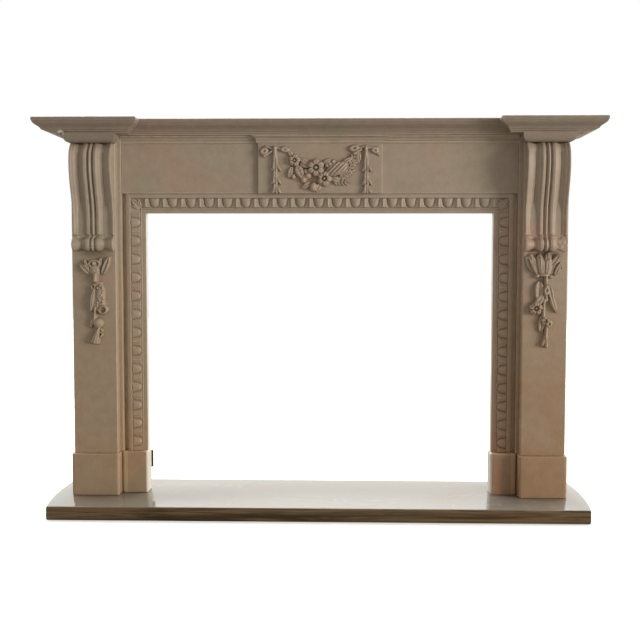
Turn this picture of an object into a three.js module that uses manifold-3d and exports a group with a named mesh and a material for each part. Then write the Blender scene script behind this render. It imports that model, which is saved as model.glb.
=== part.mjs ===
// A carved stone fireplace mantel with its marble hearth, in millimetres, Z up.
// The origin is the middle of the hearth's underside. X runs to the right, Y towards the wall.
// Depths are given as distances in front of the wall plane, the back edge of the hearth.
import * as THREE from 'three';
import * as BufferGeometryUtils from 'three/addons/utils/BufferGeometryUtils.js';
import Module from 'manifold-3d';

const wasm = await Module();
wasm.setup();

// Driving dimensions
const jointGap = 0.3;

const hearthFrontMargin = 37;
const hearthBackMargin = 46;
const hearthDepth = 349;
const hearthThickness = 39;
const hearthEndBow = 12.5;
const hearthEdgeRound = 5;

const openingWidth = 1006;
const openingHeight = 816;

const frameWidth = 55;
const frameBackDepth = 124;
const frameFrontDepth = 164;
const frameFall = 12;
const frameFillet = 12;
const frameOvolo = 28;
const eggPitch = 51.5;
const eggHeight = 8;
const eggGround = 5;
const beadWidth = 3;
const beadProud = 2;

const recessWidth = 12;
const recessFloorDepth = 150;
const backingWidth = 10;
const backingDepth = 173;
const pilasterWidth = 127;
const pilasterDepth = 203;
const arrisRound = 3;

const plinthHeight = 121;
const plinthMargin = 5;
const plinthProud = 13;
const innerPlinthDepth = 177.5;
const innerPlinthLap = 4.5;
const plinthCornerRound = 7;

const friezeHeight = 143;
const friezeDepth = 166;
const friezeThickness = 56;
const bedMouldHeight = 21;
const bedMouldTop = 17;
const bedMouldFoot = 5;
const tabletWidth = 356;
const tabletProud = 11;
const tabletOffset = 4;

const shelfOverhang = 93;
const shelfThickness = 43;
const shelfBlockDepth = 269;
const shelfSetback = 48;
const shelfBlockLap = 73;
const shelfMouldRun = 27;
const shelfEndRun = 32;
const shelfNosing = 12;

const corbelWidth = 121;
const corbelBulge = 42;
const corbelStart = 16;
const corbelNeck = 8;
const rollRadius = 20.5;
const rollDrop = 290;
const reedDepth = 9;
const capHeight = 25;
const capProud = 44;
const capRun = 14;
const capMargin = 13;

const crampThickness = 3;
const crampWidth = 20;
const crampHeight = 50;
const crampReach = 5;
const crampDrop = 6;

// Heights and depths that follow from them
const wallY = hearthDepth / 2;
const deep = (distance) => wallY - distance;
const hearthTop = hearthThickness;
const plinthFoot = hearthTop + jointGap;
const plinthTop = plinthFoot + plinthHeight;
const legFoot = plinthTop + jointGap;
const openingTop = hearthTop + openingHeight;
const frameTop = openingTop + frameWidth;
const friezeFoot = frameTop + jointGap;
const bedMouldFootLevel = friezeFoot + friezeHeight;
const friezeTop = bedMouldFootLevel + bedMouldHeight;
const shelfUnderside = friezeTop + jointGap;
const shelfTop = shelfUnderside + shelfThickness;
const openingHalf = openingWidth / 2;
const frameOuter = openingHalf + frameWidth;
const backingInner = frameOuter + recessWidth;
const pilasterInner = backingInner + backingWidth;
const pilasterOuter = pilasterInner + pilasterWidth;
const pilasterCentre = pilasterInner + pilasterWidth / 2;
const plinthOuter = pilasterOuter + plinthMargin;
const shelfHalf = pilasterOuter + shelfOverhang;
const shelfBlockInner = pilasterInner - shelfBlockLap;
const capFoot = friezeTop - capHeight;
const rollCentre = friezeTop - rollDrop - rollRadius;

// Materials
const stone = (name, color) => {
  const material = new THREE.MeshStandardMaterial({ color, roughness: 0.72, metalness: 0 });
  material.name = name;
  return material;
};
const carvedStone = stone('cream stone', 0xb9a791);
const hearthStone = stone('veined marble', 0xcfccc2);
const darkIron = new THREE.MeshStandardMaterial({ color: 0x2b2723, roughness: 0.5, metalness: 0.8 });

// Solids from geometries, and back
function solidOf(geometry) {
  const bare = geometry.index ? geometry.clone() : BufferGeometryUtils.mergeVertices(geometry);
  bare.deleteAttribute('normal');
  bare.deleteAttribute('uv');
  const merged = BufferGeometryUtils.mergeVertices(bare, 1e-4);
  return new wasm.Manifold(new wasm.Mesh({
    numProp: 3,
    vertProperties: new Float32Array(merged.attributes.position.array),
    triVerts: new Uint32Array(merged.index.array),
  }));
}

function geometryOf(solid) {
  const mesh = solid.getMesh();
  const geometry = new THREE.BufferGeometry();
  geometry.setAttribute('position', new THREE.BufferAttribute(mesh.vertProperties, 3));
  geometry.setIndex(new THREE.BufferAttribute(mesh.triVerts, 1));
  geometry.computeVertexNormals();
  return geometry;
}

// A closed solid through rings of points, all rings with as many points, ends filled flat.
function ringLoft(rings) {
  const count = rings[0].length;
  const positions = rings.flat().flatMap((point) => [point.x, point.y, point.z]);
  const index = [];
  for (let ring = 0; ring + 1 < rings.length; ring += 1) {
    for (let step = 0; step < count; step += 1) {
      const a = ring * count + step;
      const b = ring * count + ((step + 1) % count);
      index.push(a, b, b + count, a, b + count, a + count);
    }
  }
  const fill = (ring, first, flip) => {
    const axisU = new THREE.Vector3();
    const normal = new THREE.Vector3();
    ring.forEach((point, at) => {
      const next = ring[(at + 1) % count];
      normal.add(new THREE.Vector3().crossVectors(point, next));
    });
    normal.normalize();
    axisU.set(normal.y, normal.z, normal.x).cross(normal).normalize();
    const axisV = new THREE.Vector3().crossVectors(normal, axisU);
    const flat = ring.map((point) => new THREE.Vector2(point.dot(axisU), point.dot(axisV)));
    THREE.ShapeUtils.triangulateShape(flat, []).forEach(([a, b, c]) => {
      index.push(...(flip ? [first + c, first + b, first + a] : [first + a, first + b, first + c]));
    });
  };
  fill(rings[0], 0, true);
  fill(rings[rings.length - 1], (rings.length - 1) * count, false);
  const geometry = new THREE.BufferGeometry();
  geometry.setAttribute('position', new THREE.Float32BufferAttribute(positions, 3));
  geometry.setIndex(index);
  return geometry;
}

const planRing = (outline, z) => outline.map(([x, distance]) => new THREE.Vector3(x, deep(distance), z));

// An upright prism over a plan outline of [x, distance from the wall], counter-clockwise from above.
const prism = (outline, low, high) => solidOf(ringLoft([planRing(outline, low), planRing(outline, high)]));

const block = (x0, x1, distance0, distance1, low, high) =>
  prism([[x0, distance1], [x1, distance1], [x1, distance0], [x0, distance0]], low, high);

// Corner points of a quarter round about (cx, cy), from one angle to another, in degrees
function arcPoints(cx, cy, radius, from, to, steps) {
  return Array.from({ length: steps + 1 }, (_, at) => {
    const angle = THREE.MathUtils.degToRad(from + ((to - from) * at) / steps);
    return [cx + radius * Math.cos(angle), cy + radius * Math.sin(angle)];
  });
}

const mirrored = (outline, side) => (side > 0 ? outline : outline.map(([x, d]) => [-x, d]).reverse());

function named(name, solid, material) {
  const mesh = new THREE.Mesh(geometryOf(solid), material);
  mesh.name = name;
  return mesh;
}

// Hearth: a slab with gently bowed ends and softened edges
function makeHearth() {
  const inset = hearthEdgeRound;
  const front = plinthOuter + hearthFrontMargin - inset;
  const back = plinthOuter + hearthBackMargin - inset;
  const half = wallY - inset;
  const middle = (front + back) / 2 + 2 * hearthEndBow;
  const shape = new THREE.Shape();
  shape.moveTo(-front, -half);
  shape.lineTo(front, -half);
  shape.quadraticCurveTo(middle, 0, back, half);
  shape.lineTo(-back, half);
  shape.quadraticCurveTo(-middle, 0, -front, -half);
  const slab = new THREE.ExtrudeGeometry(shape, {
    depth: hearthThickness - 2 * inset,
    bevelEnabled: true,
    bevelSize: inset,
    bevelThickness: inset,
    bevelSegments: 3,
    curveSegments: 10,
  });
  slab.translate(0, 0, inset);
  return named('hearth', solidOf(slab), hearthStone);
}

// Plinth blocks with softened front corners
function plinthOutline(inner, outer, distance, back) {
  const radius = plinthCornerRound;
  return [
    [inner, back],
    ...arcPoints(inner + radius, distance - radius, radius, 180, 90, 3),
    ...arcPoints(outer - radius, distance - radius, radius, 90, 0, 3),
    [outer, back],
  ];
}

function makePlinths(side, label) {
  const innerEdge = pilasterInner - plinthMargin;
  const outer = plinthOutline(innerEdge, plinthOuter, pilasterDepth + plinthProud, 0);
  const opening = openingHalf - innerPlinthLap;
  const inner = plinthOutline(opening, innerEdge - jointGap, innerPlinthDepth, frameBackDepth);
  return [
    named(`plinth_outer_${label}`, prism(mirrored(outer, side), plinthFoot, plinthTop), carvedStone),
    named(`plinth_inner_${label}`, prism(mirrored(inner, side), plinthFoot, plinthTop), carvedStone),
  ];
}

// Small carved forms, each a low closed body set into the face that carries it
function bump(x, distance, z, halfWidth, halfDepth, halfHeight, turn = 0, sides = 8, bands = 6) {
  const ball = new THREE.SphereGeometry(1, sides, bands);
  ball.scale(halfWidth, halfDepth, halfHeight);
  ball.rotateY(THREE.MathUtils.degToRad(turn));
  ball.translate(x, deep(distance), z);
  return solidOf(ball);
}

// A pointed leaf from its root at (x, z), growing at an angle from straight up
function leaf(x, distance, z, length, width, height, turn) {
  const profile = [[0, 0], [0.3, 0.12], [0.5, 0.42], [0.34, 0.76], [0, 1]];
  const points = profile.map(([radius, along]) => new THREE.Vector2(radius, along));
  const body = new THREE.LatheGeometry(points, 6);
  body.scale(width, length, height * 2);
  body.rotateX(Math.PI / 2);
  body.rotateY(THREE.MathUtils.degToRad(turn));
  body.translate(x, deep(distance), z);
  return solidOf(body);
}

function flower(x, distance, z, radius, petals, height) {
  const parts = [bump(x, distance, z, radius * 0.26, height, radius * 0.26)];
  for (let at = 0; at < petals; at += 1) {
    const angle = (at / petals) * 360;
    const reach = radius * 0.58;
    const px = x + reach * Math.sin(THREE.MathUtils.degToRad(angle));
    const pz = z + reach * Math.cos(THREE.MathUtils.degToRad(angle));
    parts.push(bump(px, distance, pz, radius * 0.38, height * 0.72, radius * 0.46, angle, 6, 4));
  }
  return parts;
}

const unite = (parts) => parts.reduce((whole, part) => whole.add(part));

// Height of the reeded face below its crests, across the corbel from its middle (0) to its edge (1)
const reedSection = [
  [0, 0.1], [0.1, 0.85], [0.18, 0.05], [0.3, 0.12], [0.46, 0.6],
  [0.6, 1], [0.7, 0.55], [0.82, 0], [0.93, 0.25], [1, 1.3],
];

// The corbel's side view: out from under the cap, a long swell, a neck, then the roll
function corbelPath() {
  const neck = pilasterDepth + corbelNeck;
  const swell = new THREE.CatmullRomCurve3([
    [pilasterDepth + corbelStart, capFoot + jointGap],
    [pilasterDepth + corbelBulge * 0.88, capFoot - 24],
    [pilasterDepth + corbelBulge, capFoot - 62],
    [pilasterDepth + corbelBulge * 0.83, capFoot - 106],
    [pilasterDepth + corbelBulge * 0.48, capFoot - 150],
    [neck + 1.5, capFoot - 192],
    [neck, rollCentre + rollRadius + 8],
  ].map(([distance, z]) => new THREE.Vector3(0, deep(distance), z)));
  const points = swell.getPoints(15).map((point) => [wallY - point.y, point.z]);
  const roll = arcPoints(pilasterDepth + 3, rollCentre, rollRadius, 74, -90, 9);
  return [...points, ...roll];
}

function reededBody(centre) {
  const half = corbelWidth / 2;
  const path = corbelPath();
  const across = [
    ...reedSection.slice(1).reverse().map(([at, low]) => [-at, low]),
    ...reedSection,
  ];
  const rings = path.map(([distance, z], at) => {
    const before = path[Math.max(at - 1, 0)];
    const after = path[Math.min(at + 1, path.length - 1)];
    const run = new THREE.Vector2(after[0] - before[0], after[1] - before[1]).normalize();
    const outward = new THREE.Vector2(-run.y, run.x);
    const front = across.map(([share, low]) => {
      const cut = low * reedDepth;
      return new THREE.Vector3(
        centre + share * half,
        deep(distance - outward.x * cut),
        z - outward.y * cut,
      );
    });
    const backZ = THREE.MathUtils.clamp(z, rollCentre - rollRadius * 0.8, capFoot);
    const back = deep(pilasterDepth - 2 * reedDepth);
    return [
      ...front,
      new THREE.Vector3(centre + half, back, backZ),
      new THREE.Vector3(centre - half, back, backZ),
    ];
  });
  return solidOf(ringLoft(rings.reverse()));
}

// The cap: a fillet over an ovolo, carried round the front and both sides
function makeCap(centre) {
  const steps = 4;
  const ovolo = arcPoints(0, 1, 1, -90, 0, steps);
  const levels = [
    ...ovolo.map(([run, rise]) => [capRun * (1 - run), capFoot + rise * (capHeight - 6)]),
    [0, friezeTop],
  ];
  const half = corbelWidth / 2 + capMargin;
  const top = pilasterDepth + capProud;
  return solidOf(ringLoft(levels.map(([inset, z]) => planRing([
    [centre - half + inset, top - inset],
    [centre + half - inset, top - inset],
    [centre + half - inset, pilasterDepth - reedDepth],
    [centre - half + inset, pilasterDepth - reedDepth],
  ], z))));
}

// The hanging ornament below the roll; u is across from the leg's middle, w down from the roll
const leftDrop = {
  leaves: [
    [-2, 66, 50, 20, 15, -54], [0, 66, 60, 24, 17, -26], [5, 64, 62, 26, 18, 2], [10, 66, 60, 24, 17, 28],
    [12, 66, 52, 20, 15, 54], [-2, 84, 50, 20, 14, 190], [12, 84, 60, 24, 15, 163], [0, 128, 46, 12, 12, 184],
    [6, 196, 42, 24, 13, 190],
  ],
  bumps: [[5, 30, 8, 20, 10], [7, 74, 7, 14, 12], [24, 136, 15, 18, 13], [12, 182, 16, 16, 16]],
};
const rightDrop = {
  leaves: [
    [-10, 66, 52, 20, 15, -54], [-8, 66, 60, 24, 17, -28], [-3, 64, 62, 26, 18, -2], [2, 66, 60, 24, 17, 26],
    [6, 66, 52, 20, 15, 54], [-8, 84, 58, 22, 15, 192], [6, 84, 56, 20, 15, 166], [2, 130, 50, 12, 12, 176],
    [0, 200, 44, 15, 12, 196], [4, 200, 44, 13, 12, 174],
  ],
  bumps: [[-4, 28, 8, 20, 10], [2, 74, 7, 14, 12], [-28, 134, 15, 18, 13], [8, 184, 14, 16, 15]],
};

function dropParts(centre, drop) {
  const foot = rollCentre - rollRadius;
  const onLeg = (form) => ([u, w, ...sizes]) => form(centre + u, pilasterDepth, foot - w, ...sizes);
  return [...drop.leaves.map(onLeg(leaf)), ...drop.bumps.map(onLeg(bump))];
}

// A leg: pilaster, stepped backing and tongue, with the corbel, cap and ornament carved from it
function makeJamb(side, label, drop, broken) {
  const round = arrisRound;
  const outline = [
    [backingInner, 0],
    [backingInner, backingDepth],
    [pilasterInner, backingDepth],
    ...arcPoints(pilasterInner + round, pilasterDepth - round, round, 180, 90, 2),
    ...arcPoints(pilasterOuter - round, pilasterDepth - round, round, 90, 0, 2),
    [pilasterOuter, 0],
  ];
  const shaft = prism(mirrored(outline, side), legFoot, friezeTop);
  const tongueEdges = [side * (frameOuter + jointGap), side * (backingInner + 1)].sort((a, b) => a - b);
  const tongue = block(...tongueEdges, 0, recessFloorDepth, legFoot, frameTop);
  const centre = side * pilasterCentre;
  let corbel = reededBody(centre);
  if (broken) {
    const edge = pilasterOuter;
    const face = pilasterDepth + 4;
    const lost = block(edge - 37, edge + 5, face, face + 60, rollCentre - 30, rollCentre + rollRadius + 2);
    corbel = corbel.subtract(lost);
  }
  const parts = [shaft, tongue, corbel, makeCap(centre), ...dropParts(centre, drop)];
  return named(`jamb_${label}`, unite(parts), carvedStone);
}

// Face of the opening's frame: [distance in from its outer edge, distance from the wall]
function frameProfile() {
  const bead = frameFillet + frameOvolo;
  const low = frameFrontDepth - frameFall;
  return [
    [0, frameBackDepth],
    [0, frameFrontDepth],
    [frameFillet, frameFrontDepth],
    [frameFillet + 1, low + eggGround],
    [bead - 1, low],
    [bead, low + beadProud],
    [bead + beadWidth, low + beadProud],
    [bead + beadWidth, low],
    [frameWidth, low],
    [frameWidth, frameBackDepth],
  ];
}

// One egg and the dart after it, laid on the sloping band and turned to the run of the moulding
function eggUnit(x, z, turn) {
  const bandMiddle = frameFillet + frameOvolo / 2;
  const fall = THREE.MathUtils.radToDeg(Math.atan2(eggGround, frameOvolo));
  const egg = new THREE.SphereGeometry(1, 8, 4);
  egg.scale(eggPitch * 0.26, eggHeight, frameOvolo / 2);
  const dart = new THREE.ConeGeometry(eggPitch * 0.17, frameOvolo, 4);
  dart.rotateX(Math.PI / 2);
  dart.scale(1, 0.75, -1);
  dart.index.array.reverse();
  dart.translate(eggPitch / 2, 0, 0);
  return [egg, dart].map((form) => {
    form.rotateX(THREE.MathUtils.degToRad(-fall));
    form.translate(0, 0, -bandMiddle);
    form.rotateY(THREE.MathUtils.degToRad(turn));
    form.translate(x, deep(frameFrontDepth - frameFall + eggGround / 2), z);
    return solidOf(form);
  });
}

// Eggs spread evenly along a run that starts and ends clear of the corners
function eggRun(length, place) {
  const count = Math.max(1, Math.floor(length / eggPitch));
  const spacing = length / count;
  const units = [];
  for (let at = 0; at < count; at += 1) {
    units.push(...place((at + 0.5) * spacing, at === count - 1));
  }
  return units;
}

function makeFrameSide(side, label) {
  const foot = legFoot;
  const top = openingTop - jointGap;
  const outline = frameProfile().map(([across, distance]) => [frameOuter - across, distance]).reverse();
  const slip = prism(mirrored(outline, side), foot, top);
  const trim = block(-pilasterOuter, pilasterOuter, frameBackDepth, frameFrontDepth + 20, foot, top);
  const eggs = eggRun(top - foot, (along) => eggUnit(side * frameOuter, foot + along, side * 90));
  return named(`frame_${label}`, slip.add(unite(eggs).intersect(trim)), carvedStone);
}

function makeHeader() {
  const profile = frameProfile();
  const station = (sx, down) => profile.map(([across, distance]) =>
    new THREE.Vector3(sx * (frameOuter - across), deep(distance), down ? openingTop : frameTop - across));
  const stations = [station(-1, true), station(-1, false), station(1, false), station(1, true)];
  const body = solidOf(ringLoft(stations));
  const start = -openingHalf;
  const eggs = eggRun(openingWidth, (along) => eggUnit(start + along, frameTop, 0));
  const cornerReach = frameFillet + frameOvolo;
  const corner = (sx) => leaf(
    sx * (frameOuter - cornerReach), frameFrontDepth - frameFall + 2, frameTop - cornerReach,
    cornerReach * 1.05, 20, 9, sx * 45,
  );
  return named('frame_header', unite([body, ...eggs, corner(-1), corner(1)]), carvedStone);
}

// The swag on the tablet: [across from the tablet's middle, height above the frieze's foot, ...]
const swag = {
  flowers: [[-72, 92, 17, 5, 13], [-12, 71, 25, 6, 19], [12, 41, 20, 5, 17]],
  bumps: [
    [-52, 62, 13, 15, 10], [-74, 47, 7, 10, 7], [-46, 38, 9, 12, 8], [-20, 18, 12, 13, 10],
    [-30, 48, 12, 14, 9], [52, 68, 27, 17, 14], [-128, 130, 6, 9, 9], [131, 127, 6, 9, 9],
  ],
  leaves: [
    [36, 56, 34, 11, 10, 118], [46, 52, 38, 11, 10, 140], [62, 60, 40, 10, 10, 158], [74, 74, 40, 10, 9, 20],
    [66, 78, 30, 11, 10, 52], [84, 88, 34, 10, 9, 10], [-84, 104, 30, 9, 9, -12],
    [-58, 84, 26, 12, 10, 95], [-118, 124, 36, 12, 8, 78], [-136, 124, 40, 12, 8, -72],
    [122, 124, 38, 12, 8, -72], [138, 124, 34, 12, 8, 76],
  ],
  drops: [-129, 131],
  husks: [
    [0, 128, 42, 15, 9, 180], [0, 90, 44, 17, 9, 180], [0, 50, 42, 15, 9, 180],
    [2, 80, 20, 9, 7, 140], [2, 40, 20, 9, 7, 140],
  ],
};

function swagParts() {
  const face = friezeDepth + tabletProud;
  const onTablet = (form) => ([u, w, ...sizes]) => form(tabletOffset + u, face, friezeFoot + w, ...sizes);
  const hanging = swag.drops.flatMap((u) => swag.husks.map(([shift, ...husk]) => [u + shift, ...husk]));
  return [
    ...swag.flowers.flatMap(onTablet(flower)),
    ...swag.bumps.map(onTablet(bump)),
    ...[...swag.leaves, ...hanging].map(onTablet(leaf)),
  ];
}

// Frieze: a slab with the raised tablet, the bed moulding breaking forward round it, and the swag
function makeFrieze() {
  const end = backingInner - jointGap;
  const left = tabletOffset - tabletWidth / 2;
  const right = tabletOffset + tabletWidth / 2;
  const back = friezeDepth - friezeThickness;
  const cove = arcPoints(1, 0, 1, 180, 90, 3).map(([run, rise]) => [
    bedMouldFoot + 1 + (bedMouldTop - bedMouldFoot - 4) * run,
    bedMouldFootLevel + 8 + (bedMouldHeight - 13) * rise,
  ]);
  const levels = [
    [0, friezeFoot],
    [0, bedMouldFootLevel],
    [bedMouldFoot, bedMouldFootLevel + 1],
    [bedMouldFoot, bedMouldFootLevel + 7],
    ...cove,
    [bedMouldTop, friezeTop - 4],
    [bedMouldTop, friezeTop],
  ];
  const body = solidOf(ringLoft(levels.map(([out, z]) => planRing([
    [-end, friezeDepth + out],
    [left - out, friezeDepth + out],
    [left - out, friezeDepth + tabletProud + out],
    [right + out, friezeDepth + tabletProud + out],
    [right + out, friezeDepth + out],
    [end, friezeDepth + out],
    [end, back],
    [-end, back],
  ], z))));
  const capEdge = pilasterCentre - corbelWidth / 2 - capMargin - jointGap;
  const capBack = pilasterDepth - reedDepth - jointGap;
  const trim = block(-capEdge, capEdge, 0, capBack, friezeFoot, friezeTop);
  const carving = unite(swagParts());
  const slab = block(-end, end, 0, backingDepth, friezeFoot, friezeTop).intersect(body);
  return named('frieze', body.intersect(trim).add(slab).add(carving), carvedStone);
}

// Shelf: breakfront slab, its moulding carried round the blocks, the setback and both ends
function makeShelf() {
  const nosingRound = 3.5;
  const cymaSteps = 6;
  const cymaTop = shelfNosing + 1;
  const filletDrop = 5;
  const cymaDrop = shelfThickness - cymaTop - 2 * filletDrop;
  const cymaRun = shelfMouldRun - 7;
  const nosing = arcPoints(nosingRound, nosingRound, nosingRound, 270, 180, 3);
  const cyma = Array.from({ length: cymaSteps + 1 }, (_, at) => {
    const share = at / cymaSteps;
    const wave = share - Math.sin(share * 2 * Math.PI) * 0.09;
    return [2 + cymaRun * wave, cymaTop + cymaDrop * share];
  });
  const profile = [
    ...nosing,
    [0, shelfNosing - 2],
    [1, shelfNosing],
    ...cyma,
    [cymaRun + 4, shelfThickness - 2 * filletDrop],
    [cymaRun + 4, shelfThickness - filletDrop],
    [shelfMouldRun, shelfThickness - filletDrop],
    [shelfMouldRun, shelfThickness],
  ];
  const set = shelfBlockDepth - shelfSetback;
  const cymaFoot = cymaTop + cymaDrop;
  // Below the cyma the two ends draw in further than the front does
  const rings = profile.reverse().map(([inset, drop]) => {
    const drawn = shelfEndRun * Math.max(0, drop - cymaFoot) / (shelfThickness - cymaFoot);
    const end = shelfHalf - inset - drawn;
    return planRing([
      [-end, shelfBlockDepth - inset],
      [-shelfBlockInner - inset, shelfBlockDepth - inset],
      [-shelfBlockInner - inset, set - inset],
      [shelfBlockInner + inset, set - inset],
      [shelfBlockInner + inset, shelfBlockDepth - inset],
      [end, shelfBlockDepth - inset],
      [end, 0],
      [-end, 0],
    ], shelfTop - drop);
  });
  return named('shelf', solidOf(ringLoft(rings)), carvedStone);
}

// A flat iron cramp on the back of the left inner plinth, its edge showing in the opening
function makeCramp() {
  const edge = crampReach + innerPlinthLap - openingHalf;
  const back = frameBackDepth - jointGap;
  const top = plinthTop - crampDrop;
  const strap = block(edge - crampWidth, edge, back - crampThickness, back, top - crampHeight, top);
  return named('cramp', strap, darkIron);
}

const mantel = new THREE.Group();
mantel.add(makeHearth());
mantel.add(...makePlinths(-1, 'left'), ...makePlinths(1, 'right'));
mantel.add(makeJamb(-1, 'left', leftDrop, false), makeJamb(1, 'right', rightDrop, true));
mantel.add(makeFrameSide(-1, 'left'), makeFrameSide(1, 'right'), makeHeader());
mantel.add(makeFrieze(), makeShelf(), makeCramp());

export default mantel;
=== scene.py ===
import itertools
import math

import bpy
import numpy as np
from mathutils import Matrix, Vector


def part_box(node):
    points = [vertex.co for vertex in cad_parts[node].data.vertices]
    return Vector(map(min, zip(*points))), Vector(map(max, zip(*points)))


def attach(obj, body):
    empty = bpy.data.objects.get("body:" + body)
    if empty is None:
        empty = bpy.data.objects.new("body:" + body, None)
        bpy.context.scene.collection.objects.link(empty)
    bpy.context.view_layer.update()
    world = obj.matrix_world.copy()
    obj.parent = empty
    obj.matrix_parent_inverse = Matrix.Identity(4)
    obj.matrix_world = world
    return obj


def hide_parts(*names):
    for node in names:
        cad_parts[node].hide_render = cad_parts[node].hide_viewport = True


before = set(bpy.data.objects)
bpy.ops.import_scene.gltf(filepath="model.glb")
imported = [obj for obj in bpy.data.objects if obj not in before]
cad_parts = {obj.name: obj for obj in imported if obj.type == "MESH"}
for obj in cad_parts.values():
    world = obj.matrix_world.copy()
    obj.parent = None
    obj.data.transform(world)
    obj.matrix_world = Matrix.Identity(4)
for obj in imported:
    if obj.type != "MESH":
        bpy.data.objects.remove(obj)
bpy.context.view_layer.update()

mm = 0.001  # the lists below are in millimetres, Blender is in metres


def boxOf(node):
    low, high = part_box(node)
    return np.array(low) / mm, np.array(high) / mm


# Heights and widths that every piece shares, read from the frame's own boxes.
# A depth is a distance in front of the wall plane, the back edge of the hearth.
wall = boxOf("hearth")[1][1]
hearthTop = boxOf("hearth")[1][2]
legFoot = boxOf("jamb_right")[0][2]
friezeTop = boxOf("jamb_right")[1][2]
friezeFoot = boxOf("frieze")[0][2]
openingHalf = boxOf("frame_right")[0][0]
frameOuter = boxOf("frame_header")[1][0]
openingTop, frameTop = boxOf("frame_header")[0][2], boxOf("frame_header")[1][2]
friezeEnd = boxOf("frieze")[1][0]
jointGap = 0.3
legCentre, legHalf, legFace = 643.5, 63.5, 203
capFoot = friezeTop - 25
legInner = 570
rollFoot = friezeTop - 331


def smooth(low, high, value):
    # 0 up to low, 1 from high on, and an S-shaped rise between them
    share = np.clip((value - low) / (high - low), 0, 1)
    return share * share * (3 - 2 * share)


def dome(share):
    # A rounded height: 1 where the share is 0, falling ever more steeply to 0 where it is 1
    return np.sqrt(np.clip(1 - share, 0, 1))


hashFactors = np.array([73856093, 19349663, 83492791])  # a large prime for each axis


def latticeNoise(points, size, seed):
    # Random values on a cubic lattice, blended smoothly between each cell's eight corners: -1 to 1
    scaled = np.asarray(points, float) / size
    cell = np.floor(scaled).astype(np.int64)
    share = scaled - cell
    share = share * share * (3 - 2 * share)
    total = np.zeros(scaled.shape[:-1])
    for corner in itertools.product((0, 1), repeat=3):
        at = cell + np.array(corner)
        key = np.bitwise_xor.reduce(at * hashFactors, axis=-1) ^ seed * 7919
        key = (key ^ (key >> 13)) * 1274126177
        value = ((key ^ (key >> 16)) & 0xFFFF) / 32767.5 - 1
        total += value * np.prod(np.where(corner, share, 1 - share), axis=-1)
    return total


# A shell is one closed surface: an array of points and a list of arrays of faces
def joinShells(shells):
    points, faces, first = [], [], 0
    for shellPoints, shellFaces in shells:
        points.append(shellPoints)
        faces += [block + first for block in shellFaces]
        first += len(shellPoints)
    return np.concatenate(points), faces


def gridFaces(rows, columns, closed=False):
    # The four corners of each cell of a grid of points; a closed grid's last column meets its first
    row, column = np.indices((rows - 1, columns if closed else columns - 1))
    after = (column + 1) % columns
    lower, upper = row * columns, (row + 1) * columns
    return np.stack([lower + column, lower + after, upper + after, upper + column], -1).reshape(-1, 4)


def ringShell(rings):
    # Closed rings one above the other, counter-clockwise seen from the last, with both ends filled
    rows, columns = rings.shape[:2]
    last = np.arange(columns) + (rows - 1) * columns
    return rings.reshape(-1, 3), [gridFaces(rows, columns, True), np.arange(columns)[None, ::-1], last[None]]


def reliefShell(across, heights, depth, backDepth):
    # A face seen from the front: its depth is an array over heights (rows) and across (columns).
    # Its border runs straight back to backDepth, where one flat face closes it.
    u, v = np.meshgrid(across, heights)
    front = np.stack([u, wall - depth, v], -1)
    rows, columns = depth.shape
    index = np.arange(rows * columns).reshape(rows, columns)
    border = np.concatenate([index[0, :-1], index[:-1, -1], index[-1, :0:-1], index[:0:-1, 0]])
    points = front.reshape(-1, 3)
    back = points[border].copy()
    back[:, 1] = wall - backDepth
    count = len(border)
    at = np.arange(count)
    after = (at + 1) % count
    sides = np.stack([border[after], border[at], at + rows * columns, after + rows * columns], -1)
    return np.concatenate([points, back]), [gridFaces(rows, columns), sides, (at + rows * columns)[None, ::-1]]


def insetPlan(plan, inset):
    # Moves each side of a plan inwards by inset, keeping what lies on the wall plane close to it
    edge = np.roll(plan, -1, 0) - plan
    outward = np.stack([edge[:, 1], -edge[:, 0]], -1) / np.linalg.norm(edge, axis=1)[:, None]
    before = np.roll(outward, 1, 0)
    mitre = (outward + before) / (1 + np.sum(outward * before, axis=1))[:, None]
    moved = plan - mitre * inset
    moved[:, 1] = np.where(np.abs(plan[:, 1] - wall) < 1e-6, wall - 0.02 * np.abs(inset), moved[:, 1])
    return moved


def sideMarks(plan, guard, step):
    # For each side of a plan, the shares of it where points stand: its corner, near both ends and every step
    sides, shares = [], []
    for at, length in enumerate(np.linalg.norm(np.roll(plan, -1, 0) - plan, axis=1)):
        here = [0.0]
        if length > 3 * guard:
            here += list(np.linspace(guard / length, 1 - guard / length, max(2, round(length / step))))
        sides += [at] * len(here)
        shares += here
    return np.array(sides), np.array(shares)[:, None]


def planShell(plan, levels, guard=5, step=45, keep=None):
    # A plan of [x, depth], counter-clockwise from above, carried up through levels of [inset, height].
    # Its corners move with the inset, and the points along its sides share out what is between them.
    flat = np.array([[x, wall - depth] for x, depth in plan], float)
    sides, shares = sideMarks(flat, guard, step)
    rings = []
    for inset, height in levels:
        corners = insetPlan(flat, inset)
        if keep:
            corners = keep(corners)
        after = np.roll(corners, -1, 0)
        ring = corners[sides] + (after - corners)[sides] * shares
        rings.append(np.column_stack([ring, np.full(len(ring), height)]))
    return ringShell(np.stack(rings))


def arc(cx, cy, radius, start, end, steps):
    # Points on a circle, evenly spaced from one angle in degrees to another
    angle = np.radians(np.linspace(start, end, steps + 1))
    return np.column_stack([cx + radius * np.cos(angle), cy + radius * np.sin(angle)])


def softLevels(low, high, radius, guard=5, step=45):
    # Levels of a block whose top and bottom edges are rounded
    angle = np.radians(np.linspace(0, 90, 5))
    rise = radius * (1 - np.cos(angle))
    inset = radius * (1 - np.sin(angle))
    middle = np.linspace(low + radius + guard, high - radius - guard, max(2, round((high - low) / step)))
    foot = list(zip(inset, low + rise))
    head = list(zip(inset[::-1], high - rise[::-1]))
    return foot + [(0, z) for z in middle] + head


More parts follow.
